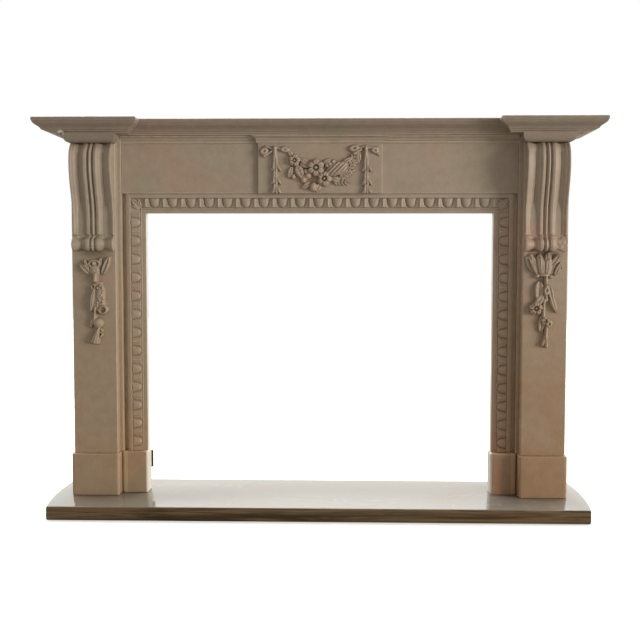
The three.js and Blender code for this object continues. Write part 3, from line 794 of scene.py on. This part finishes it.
def corbelPath():
    # The side view as [depth, height]: a swell in straight steps rounded by a spline, then the roll's arc
    neck = legFace + leg["neck"]
    marks = np.array([
        [legFace + leg["start"], capFoot + jointGap],
        *[[legFace + leg["bulge"] * share, capFoot - drop] for share, drop in leg["swell"]],
        [neck + 1.5, capFoot - leg["neckDrop"]], [neck, rollTop + 9],
    ])
    ends = np.concatenate([[2 * marks[0] - marks[1]], marks, [2 * marks[-1] - marks[-2]]])
    t = np.linspace(0, 1, 14, endpoint=False)[:, None]
    swell = np.concatenate([
        0.5 * (2 * b + (c - a) * t + (2 * a - 5 * b + 4 * c - d) * t ** 2 + (3 * b - a - 3 * c + d) * t ** 3)
        for a, b, c, d in zip(ends, ends[1:], ends[2:], ends[3:])
    ])
    groove = np.column_stack([np.full(6, neck), rollTop + np.linspace(8, 1, 6)])
    roll = arc(legFace + 3, rollCentre, leg["rollRadius"], 78, -90, 34)
    return np.concatenate([swell, groove, roll])


def makeCorbel(centre, broken):
    # The side view carried across the leg, each point cut back along its normal by the reeds' section,
    # more in the groove above the roll. On a broken roll the outer end falls back to a ragged face.
    path = corbelPath()
    run = np.gradient(path, axis=0)
    run = run / np.linalg.norm(run, axis=1)[:, None]
    outward = np.column_stack([-run[:, 1], run[:, 0]])
    share = np.linspace(-1, 1, 121)
    # Between two marks of the section the height eases in and out
    at = np.clip(np.searchsorted(reedSection[:, 0], np.abs(share), side="right") - 1, 0, len(reedSection) - 2)
    low, high = reedSection[at], reedSection[at + 1]
    ease = smooth(0, 1, (np.abs(share) - low[:, 0]) / (high[:, 0] - low[:, 0]))
    cut = (low[:, 1] + (high[:, 1] - low[:, 1]) * ease) * leg["reed"]
    onRoll = smooth(rollTop + 10, rollTop, path[:, 1])
    cut = cut * (0.45 + 0.55 * smooth(capFoot - 3, capFoot - 30, path[:, 1:]))
    pinch = 6 * np.exp(-((path[:, 1:] - rollTop - 4) / 2.4) ** 2)
    cut = cut * (1 - 0.4 * onRoll[:, None]) + pinch
    depth = path[:, :1] - outward[:, :1] * cut
    height = path[:, 1:] - outward[:, 1:] * cut
    x = centre + share * leg["corbelHalf"]
    place = np.stack([np.broadcast_to(x, depth.shape), depth, height], -1)
    if broken:
        ragged = latticeNoise(place, 7, 21)
        lost = smooth(0, 2.5, x - (legCentre + 27) + 2 * ragged) * (onRoll > 0.3)[:, None]
        lost = lost * (height < rollTop + 1)
        fallen = np.minimum(depth, depth + lost * (legFace + 4 + 1.2 * ragged - depth))
        place[..., 1] = np.where(lost > 0, fallen, depth)
    place[..., 1] = wall - place[..., 1]
    back = np.zeros((len(path), 2, 3))
    back[:, 0, 0], back[:, 1, 0] = centre + leg["corbelHalf"], centre - leg["corbelHalf"]
    back[..., 1] = wall - legFace + 18
    back[..., 2] = np.clip(path[:, 1:], rollCentre - leg["rollRadius"] * 0.8, capFoot)
    return ringShell(np.concatenate([place, back], axis=1)[::-1])


def makeCap(centre):
    # A hollow quarter oval that runs out and up to an upright band, carried round three sides
    half, front, back = leg["capHalf"], legFace + leg["capProud"], legFace - 8
    rise = friezeTop - capFoot - 6
    angle = np.radians(np.linspace(0, 90, 13))
    levels = [(leg["capRun"] * (1 - np.sin(a)), capFoot + (1 - np.cos(a)) * rise) for a in angle]
    levels += [(0, friezeTop - 3), (0, friezeTop - 0.8), (0.8, friezeTop)]
    plan = [[centre - half, front], [centre + half, front], [centre + half, back], [centre - half, back]]
    return planShell(plan, levels, 3)


def makeShaft(centre, drop):
    # A flat face that falls back along a circle at both upright edges, with the hanging forms raised on it
    x = nearEnds(spread(centre - legHalf, centre + legHalf, 1.0), 0.25, 0.6)
    z = nearEnds(spread(legFoot, friezeTop, 24, [(rollFoot - leg["dropHeight"], rollFoot + 8)]), 1, 4)
    u, v = np.meshgrid(x, z)
    depth = legFace - roundedFace(u, centre - legHalf, centre + legHalf, leg["arris"])
    return reliefShell(x, z, depth + handCarved(u, v, centre, rollFoot, drop, 0.35, 8), 0)


def makeJambs():
    # Five closed shells that run into one another make each leg
    for side, label, drop, broken in ((-1, "left", leftDrop, False), (1, "right", rightDrop, True)):
        centre = side * legCentre
        inner = sorted([side * legInner, side * (legCentre - legHalf + 1)])
        tongue = sorted([side * (frameOuter + jointGap), side * (legInner + 1)])
        shells = [
            makeShaft(centre, drop),
            softBlock(*inner, 0, leg["backingDepth"], legFoot, friezeTop, 1.5, 0.8),
            softBlock(*tongue, 0, leg["tongueDepth"], legFoot, frameTop, 1.0, 0.8),
            makeCorbel(centre, broken),
            makeCap(centre),
        ]
        makePiece(f"leg_{label}_carved", f"jamb_{label}", "carved_stone", shells,
                  sag=0.25, chips=0.7, seed=30 + side)


makeJambs()
print("legs done")

# Frame of the opening, measured from its outer edge inwards
slip = {
    "back": 124, "front": 164, "fillet": 12, "ovolo": 28, "fall": 12, "ground": 5, "bead": 3, "beadProud": 2,
    "pitch": 51.5, "egg": 8.5, "round": 1.2,
    "cornerLeaves": [(45, 37.84, 17), (12, 25.8, 11), (78, 25.8, 11)], "cornerHeight": 7,  # turn, length, width
}
slipWidth = frameOuter - openingHalf
bandEnd = slip["fillet"] + slip["ovolo"]


def slipDepth(across):
    # Flat outer fillet, a sloping band that carries the eggs, a small round bead and a flat inner band
    low = slip["front"] - slip["fall"]
    marks = [0, slip["fillet"], slip["fillet"] + 0.8, bandEnd - 0.6, bandEnd, slipWidth]
    depths = [slip["front"], slip["front"], low + slip["ground"], low, low, low]
    depth = np.interp(across, marks, depths)
    bead = (across - bandEnd - slip["bead"] / 2) / (slip["bead"] / 2)
    return depth + slip["beadProud"] * dome(bead ** 2) - roundedFace(across, 0, slipWidth, slip["round"])


def eggAndDart(along, across, length):
    # Eggs and darts side by side, each rounded across, with a narrow cleft between them that leans
    # with the inward taper of the eggs; the darts have a rib down their middle
    count = max(1, math.floor(length / slip["pitch"]))
    pitch = length / count
    share = np.clip((across - slip["fillet"] - 0.6) / (slip["ovolo"] - 1.2), 0, 1)
    fromEgg = np.abs(np.mod(along, pitch) - pitch / 2) / pitch
    cleft = 0.3 - 0.1 * share - 0.16 * np.clip((share - 0.6) / 0.4, 0, 1) ** 3
    egg = dome((fromEgg / (cleft - 0.012)) ** 2) * np.sqrt(np.clip(1.02 - share ** 6, 0, 1))
    fromDart = 0.5 - fromEgg
    dart = np.clip(1 - (fromDart / (0.488 - cleft)) ** 2, 0, 1) ** 0.5
    dart = dart * (0.62 + 0.38 * np.exp(-(fromDart / 0.045) ** 2)) * smooth(1.02, 0.94, share)
    height = slip["egg"] * np.maximum(egg, 0.95 * dart) * smooth(-0.04, 0.08, share)
    inBand = (across > slip["fillet"] + 0.6) & (across < bandEnd - 0.3)
    return np.where((along > 0) & (along < length) & inBand, height, 0)


def slipLines():
    return spread(0, slipWidth, 6, [(11.2, 44)], 0.9)


def makeSlips():
    # The frame's section over x, with the eggs and darts running up its sloping band
    for side, label in ((-1, "left"), (1, "right")):
        low, high = boxOf(f"frame_{label}")
        across = slipLines()
        x = side * (frameOuter - across)
        z = spread(low[2], high[2], 1.25)
        order = np.argsort(x)
        u, v = np.meshgrid(across[order], z)
        relief = softened(eggAndDart(v - low[2], u, high[2] - low[2]))
        shell = reliefShell(x[order], z, slipDepth(u) + relief, slip["back"])
        makePiece(f"slip_{label}_egg_and_dart", f"frame_{label}", "carved_stone", [shell],
                  sag=0.15, chips=0.3, seed=50 + side)


def makeHeader():
    # The same section by the distance from the nearest outer edge, so that it turns at mitred corners,
    # with eggs and darts between the corners and three leaves fanned out over each of them
    down = slipLines()
    z = np.sort(frameTop - down)
    ends = frameOuter - down
    x = np.unique(np.round(np.concatenate([spread(-openingHalf, openingHalf, 1.35), ends, -ends]), 3))
    u, v = np.meshgrid(x, z)
    across = np.minimum(frameTop - v, frameOuter - np.abs(u))
    relief = eggAndDart(u + openingHalf, frameTop - v, 2 * openingHalf)
    for side, (turn, length, width) in itertools.product((-1, 1), slip["cornerLeaves"]):
        leaf = leafHeight(u, v, side * (frameOuter - bandEnd), frameTop - bandEnd, length, width,
                          slip["cornerHeight"], side * turn, ribs=3)
        relief = np.maximum(relief, leaf)
    shell = reliefShell(x, z, slipDepth(across) + softened(relief), slip["back"])
    makePiece("header_egg_and_dart", "frame_header", "carved_stone", [shell], sag=0.15, chips=0.3, seed=55)


makeSlips()
makeHeader()
print("frame done")

# Frieze: slab, bed moulding breaking forward round the tablet, and the tablet with its swag
frieze = {
    "depth": 166, "thickness": 56, "mouldHeight": 21, "mouldTop": 17, "mouldFoot": 5,
    "tabletHalf": 178, "tabletProud": 11, "tabletOffset": 4, "arris": 1.5,
}
mouldFoot = friezeTop - frieze["mouldHeight"]
tabletLeft = frieze["tabletOffset"] - frieze["tabletHalf"]
tabletRight = frieze["tabletOffset"] + frieze["tabletHalf"]
tabletFace = frieze["depth"] + frieze["tabletProud"]


def leafSpray(x, z, turn, length, leaves, leafLength, height, bend):
    # Small leaves in pairs along a stem that bends as a parabola, and one at its end
    sine, cosine = math.sin(math.radians(turn)), math.cos(math.radians(turn))
    forms = [["stem", 0, x, z, length, 3.2, height * 0.7, turn, {"bend": bend}]]
    for at in range(leaves):
        share = (at + 1) / (leaves + 0.5)
        along, aside = length * share, bend * length * 4 * share * (1 - share)
        px, pz = x + along * sine + aside * cosine, z + along * cosine - aside * sine
        size = leafLength * (1 - 0.35 * share)
        forms += [["leaf", 0, px, pz, size, size * 0.42, height, turn + lean] for lean in (-42, 42)]
    tip = [x + length * sine, z + length * cosine, leafLength * 0.8, leafLength * 0.35, height, turn]
    return forms + [["leaf", 0, *tip]]


def huskForms(x, z):
    # Three bell-shaped husks hanging one below the other, each wider at its foot, with a tip turned out
    forms = [["stem", 0, x, z, 116, 10, 9, 180], ["stem", 1, x, z, 22, 12, 10, 180]]
    for down, length, half in ((4, 58, 9), (54, 46, 9.5), (94, 32, 8.5)):
        foot = z - down - length
        forms += [
            ["fan", 2, x + 0.5, z - down, length, 5, half, 13,
             {"petals": 2, "turn": 180, "tip": 0.1, "open": 0.7}],
            ["leaf", 2, x + 4, foot + 20, 25, 9, 11, 148, {"hollow": 0}],
            ["leaf", 1, x - 4, foot + 14, 17, 8, 9, 200, {"hollow": 0}],
        ]
    return forms


# [kind, lift, x, z, sizes]: x from the middle of the tablet's face, z above the frieze's foot
swag = [
    ["ring", 1, -160, 119, 12, 13, 10, 70, {"band": 0.5}], ["ring", 1, -101, 124, 9, 14, 9, 98, {"band": 0.5}],
    ["stem", 0, -138, 119, 26, 7, 10, -122], ["stem", 0, -134, 124, 24, 6, 9, -68],
    ["stem", 0, -128, 131, 40, 7, 8, 98, {"bend": 0.08}], ["leaf", 1, -92, 124, 32, 12, 9, 148],
    ["ring", 1, 97, 127, 10, 16, 9, 82, {"band": 0.45}], ["ring", 1, 157, 121, 9, 12, 9, 110, {"band": 0.5}],
    ["stem", 0, 100, 124, 34, 7, 8, 74], ["stem", 0, 134, 130, 30, 8, 8, 94],
    ["stem", 1, 96, 112, 24, 7, 10, 62], ["leaf", 1, 112, 118, 34, 13, 10, 184],
    ["leaf", 0, 158, 131, 28, 12, 9, 160, {"bend": -0.1}],
    ["ball", 2, -129, 127, 6, 8, 12], ["ball", 2, 131, 125, 6, 8, 12],
    ["bloom", 3, -73, 93, 18, 5, 14, 10],
    ["bloom", 4, -12, 72, 26, 6, 18, 0],
    ["bloom", 4, 12, 41, 22, 5, 17, 20],
    ["ball", 3, -19, 19, 11, 13, 14, 20], ["leaf", 3, -22, 30, 26, 18, 13, 165],
    ["ball", 2, -76, 47, 7, 8, 10], ["ball", 2, -47, 38, 9, 10, 12], ["ball", 2, -34, 50, 11, 10, 13],
    ["ball", 2, -62, 57, 9, 8, 11], ["ball", 2, -40, 62, 8, 8, 11], ["ball", 1, -54, 46, 7, 7, 10],
    ["leaf", 2, -66, 78, 38, 26, 14, 156, {"ribs": 4}],
    ["leaf", 1, -58, 84, 34, 18, 12, 104, {"ribs": 4}],
    ["leaf", 1, -80, 76, 34, 15, 11, 196],
    ["leaf", 1, -30, 60, 32, 16, 12, 215], ["leaf", 1, 0, 28, 28, 15, 11, 205],
    ["leaf", 1, -32, 84, 30, 16, 12, -62], ["leaf", 1, 10, 84, 24, 14, 11, 60],
    ["leaf", 1, -28, 30, 28, 16, 11, 235], ["leaf", 1, 32, 44, 26, 14, 11, 115],
    ["pod", 3, 48, 69, 18, 34, 16, 66, {"ridges": 4, "slant": 22}],
    ["leaf", 2, 16, 56, 40, 16, 13, 72], ["leaf", 1, 64, 86, 34, 13, 12, 62],
    ["ball", 2, 28, 82, 8, 7, 11], ["ball", 2, 38, 88, 7, 7, 10], ["ball", 2, 20, 78, 6, 6, 10],
    *leafSpray(28, 40, 98, 46, 4, 20, 11, 0.05),
    *leafSpray(50, 40, 62, 40, 4, 20, 11, -0.06),
    *leafSpray(70, 50, 38, 48, 4, 21, 11, -0.08),
    *leafSpray(86, 70, 20, 44, 4, 20, 11, -0.05),
    *huskForms(-129, 126), *huskForms(131, 124),
]


def makeBedMould():
    # Fillet, cove and top band, each level as [distance out, height above the moulding's foot]
    face, back = frieze["depth"], frieze["depth"] - frieze["thickness"]
    plan = [
        [-friezeEnd, face], [tabletLeft, face], [tabletLeft, tabletFace], [tabletRight, tabletFace],
        [tabletRight, face], [friezeEnd, face], [friezeEnd, back], [-friezeEnd, back],
    ]
    foot, top = frieze["mouldFoot"], frieze["mouldTop"]
    cove = [(foot + 1 + (top - foot - 4) * (1 - math.cos(a)), 8 + 8 * math.sin(a))
            for a in np.radians(np.linspace(0, 90, 9))]
    section = [(-3, 0), (foot - 1, 0), (foot, 1), (foot, 6.4), (foot - 0.6, 7), *cove,
               (top - 0.6, 17), (top, 17.6), (top, 20.4), (top - 0.6, 21)]

    def keepEnds(corners):
        corners[:, 0] = np.clip(corners[:, 0], -friezeEnd, friezeEnd)
        corners[:, 1] = np.minimum(corners[:, 1], wall - back)
        return corners

    return planShell(plan, [(-out, mouldFoot + rise) for out, rise in section], 3, 30, keepEnds)


def makeTablet():
    # A flat face that falls back along a circle at both upright edges, with the swag raised on it
    x = nearEnds(spread(tabletLeft, tabletRight, 1.05), 0.2, 0.5)
    z = spread(friezeFoot, mouldFoot + 1, 1.05)
    u, v = np.meshgrid(x, z)
    depth = tabletFace - roundedFace(u, tabletLeft, tabletRight, frieze["arris"])
    relief = handCarved(u, v, frieze["tabletOffset"], friezeFoot, swag, 0.3, 18)
    return reliefShell(x, z, depth + relief, frieze["depth"] - 6)


def makeFrieze():
    # A plain slab, the bed moulding and the tablet, three closed shells that run into one another
    slab = softBlock(-friezeEnd, friezeEnd, frieze["depth"] - frieze["thickness"], frieze["depth"],
                     friezeFoot, friezeTop, 0.8, 0.6)
    makePiece("frieze_carved", "frieze", "carved_stone", [slab, makeBedMould(), makeTablet()],
              sag=0.15, chips=0.4, seed=61)


makeFrieze()
print("frieze done")

# Shelf: a breakfront slab with its moulding carried round the blocks, the setback and both ends
shelf = {
    "front": 269, "setback": 48, "blockInner": 507, "run": 27, "nosing": 12, "nosingRound": 3.5, "fillet": 5,
    "endRun": 32, "chipSize": (13, 4), "chipMove": (0, 3, 2.5),
}


def makeShelf():
    # A profile of [inset, drop]: rounded nosing, a line with a sine wave on it for the cyma, two fillets.
    # Each of its points is a level, where the plan of the slab is inset by that much.
    low, high = boxOf("shelf")
    thickness, half = high[2] - low[2], high[0]
    inner, front = shelf["blockInner"], shelf["front"]
    between = front - shelf["setback"]
    corners = [
        [-half, front], [-inner, front], [-inner, between], [inner, between],
        [inner, front], [half, front], [half, 0], [-half, 0],
    ]
    radius, lip, run = shelf["nosingRound"], shelf["nosing"], shelf["run"]
    angle = np.radians(np.linspace(0, 90, 7))
    nosing = list(zip(radius - radius * np.sin(angle), radius - radius * np.cos(angle)))
    cymaTop = lip + 1
    cymaDrop = thickness - cymaTop - 2 * shelf["fillet"]
    share = np.linspace(0, 1, 19)
    cyma = list(zip(2 + (run - 7) * (share - 0.09 * np.sin(2 * np.pi * share)), cymaTop + cymaDrop * share))
    foot = thickness - shelf["fillet"]
    profile = [
        (radius + 4, 0), *nosing, (0, lip - 2.4), (0.3, lip - 1.6), (1.6, lip - 1), (1.8, lip + 0.4), *cyma,
        (run - 3.4, foot - 4.6), (run - 3, foot - 4), (run - 3, foot - 0.6), (run - 2.4, foot),
        (run - 0.4, foot + 0.2), (run, foot + 0.8), (run, thickness - 0.6), (run + 0.6, thickness),
    ]
    levels = [(inset, high[2] - drop) for inset, drop in profile[::-1]]
    points, faces = planShell(corners, levels, 4, 9)
    # Below the cyma the two ends draw in further than the front does
    cymaFoot = cymaTop + cymaDrop
    rows = points.reshape(len(levels), -1, 3)
    drawn = shelf["endRun"] * np.clip((high[2] - rows[..., 2] - cymaFoot) / (thickness - cymaFoot), 0, 1)
    beyond = np.clip(np.abs(rows[..., 0]) - legCentre - legHalf, 0, None)
    rows[..., 0] -= np.sign(rows[..., 0]) * drawn * beyond / beyond.max(axis=1, keepdims=True)
    # A chip broken out of the lower edge above the left cap
    lost = smooth(*shelf["chipSize"], np.linalg.norm(points - stoneLook["chip"], axis=1))[:, None]
    points += lost * shelf["chipMove"]
    makePiece("shelf_moulded", "shelf", "carved_stone", [(points, faces)], sag=0.3, chips=1.2, seed=71)


makeShelf()
print("shelf done")


# Iron cramp on the back of the left inner plinth
cramp = {"round": 0.6, "edge": 0.6}


def makeCramp():
    # A block over its node's box, with rounded edges
    strap = boxBlock("cramp", cramp["round"], cramp["edge"])
    makePiece("iron_cramp_strap", "cramp", "dark_iron", [strap], sag=0.05, chips=0.0, seed=81)


makeCramp()
print("cramp done")

# Floor, light and camera
# The camera's place is in millimetres, its turns are in radians, and its focal length was solved in pixels
view = {
    "place": (80.94, -2853.08, 722.94), "yaw": -0.0269, "pitch": -0.0617, "roll": 0.0011,
    "focalPixels": 989.88, "picturePixels": 640, "sensor": 36,
}
light = {
    "front": (0.33, 0.31, 0.285, 1), "right": (0.4, 0.385, 0.36, 1),
    "back": (3.6, 3.6, 3.5, 1), "backLow": (1.55, 1.55, 1.53, 1),
    "keyPlace": (6.6, -3.7, 1.1), "keyAim": (0, 0, 0.55), "keySize": 3.2, "keyPower": 340,
    "keyTint": (1, 0.95, 0.88), "floorBounce": (0.22, 0.21, 0.195, 1), "floorSeen": (0.9, 0.9, 0.9, 1),
    "floorGlow": 0.4, "floorHalf": 9,
}


def makeFloor():
    half = light["floorHalf"]
    mesh = bpy.data.meshes.new("floor")
    corners = [(-half, -half, 0), (half, -half, 0), (half, half, 0), (-half, half, 0)]
    mesh.from_pydata(corners, [], [(0, 1, 2, 3)])
    floor = placeObject("floor", mesh)
    # Pale where the camera sees it, and too dim otherwise to light the object from below
    material, tree, shader, _ = newMaterial("pale_floor", 0.9, specular=0.0)
    seen = addNode(tree, "LightPath").outputs["Is Camera Ray"]
    tree.links.new(mixColour(tree, seen, light["floorBounce"], light["floorSeen"]), shader.inputs["Base Color"])
    tree.links.new(product(tree, seen, light["floorGlow"]), shader.inputs["Emission Strength"])
    shader.inputs["Emission Color"].default_value = (1, 1, 1, 1)
    mesh.materials.append(material)


def makeWorld():
    # White where the camera looks; for light, dim in front, bright behind and stronger from the right
    world = bpy.data.worlds.new("studio")
    bpy.context.scene.world = world
    world.use_nodes = True
    tree = world.node_tree
    tree.nodes.clear()
    direction = addNode(tree, "SeparateXYZ", Vector=addNode(tree, "TexCoord").outputs["Generated"]).outputs
    behind = ramp(tree, direction["Y"], -0.1, 0.4)
    right = ramp(tree, direction["X"], 0.1, 0.95)
    high = ramp(tree, direction["Z"], 0.28, 0.5)
    colour = mixColour(tree, right, light["front"], light["right"])
    colour = mixColour(tree, behind, colour, mixColour(tree, high, light["backLow"], light["back"]))
    seen = addNode(tree, "LightPath").outputs["Is Camera Ray"]
    glow = addNode(tree, "Background", Color=mixColour(tree, seen, colour, (1, 1, 1, 1)))
    addNode(tree, "OutputWorld", Surface=glow.outputs[0])


def makeKey():
    # One broad soft lamp from the right and front
    lamp = bpy.data.lights.new("key", "AREA")
    lamp.shape = "DISK"
    lamp.size = light["keySize"]
    lamp.energy = light["keyPower"]
    lamp.color = light["keyTint"]
    key = placeObject("key", lamp)
    key.location = light["keyPlace"]
    key.rotation_euler = (Vector(light["keyAim"]) - key.location).to_track_quat("-Z", "Y").to_euler()
    key.visible_camera = False


def makeCamera():
    # Forward from yaw and pitch, then right and up turned about it by the roll
    yaw, pitch, roll = view["yaw"], view["pitch"], view["roll"]
    forward = Vector((math.sin(yaw) * math.cos(pitch), math.cos(yaw) * math.cos(pitch), math.sin(pitch)))
    level = Vector((math.cos(yaw), -math.sin(yaw), 0))
    upright = level.cross(forward)
    right = level * math.cos(roll) + upright * math.sin(roll)
    up = upright * math.cos(roll) - level * math.sin(roll)
    data = bpy.data.cameras.new("camera")
    data.sensor_width = view["sensor"]
    data.lens = view["focalPixels"] / view["picturePixels"] * view["sensor"]
    data.clip_end = 50
    camera = placeObject("camera", data)
    turn = Matrix((right, up, -forward)).transposed()
    camera.matrix_world = Matrix.Translation(Vector(view["place"]) * mm) @ turn.to_4x4()
    bpy.context.scene.camera = camera


makeFloor()
makeWorld()
makeKey()
makeCamera()
bpy.context.scene.view_settings.view_transform = "Standard"
print("floor, light and camera done")

bpy.context.view_layer.update()
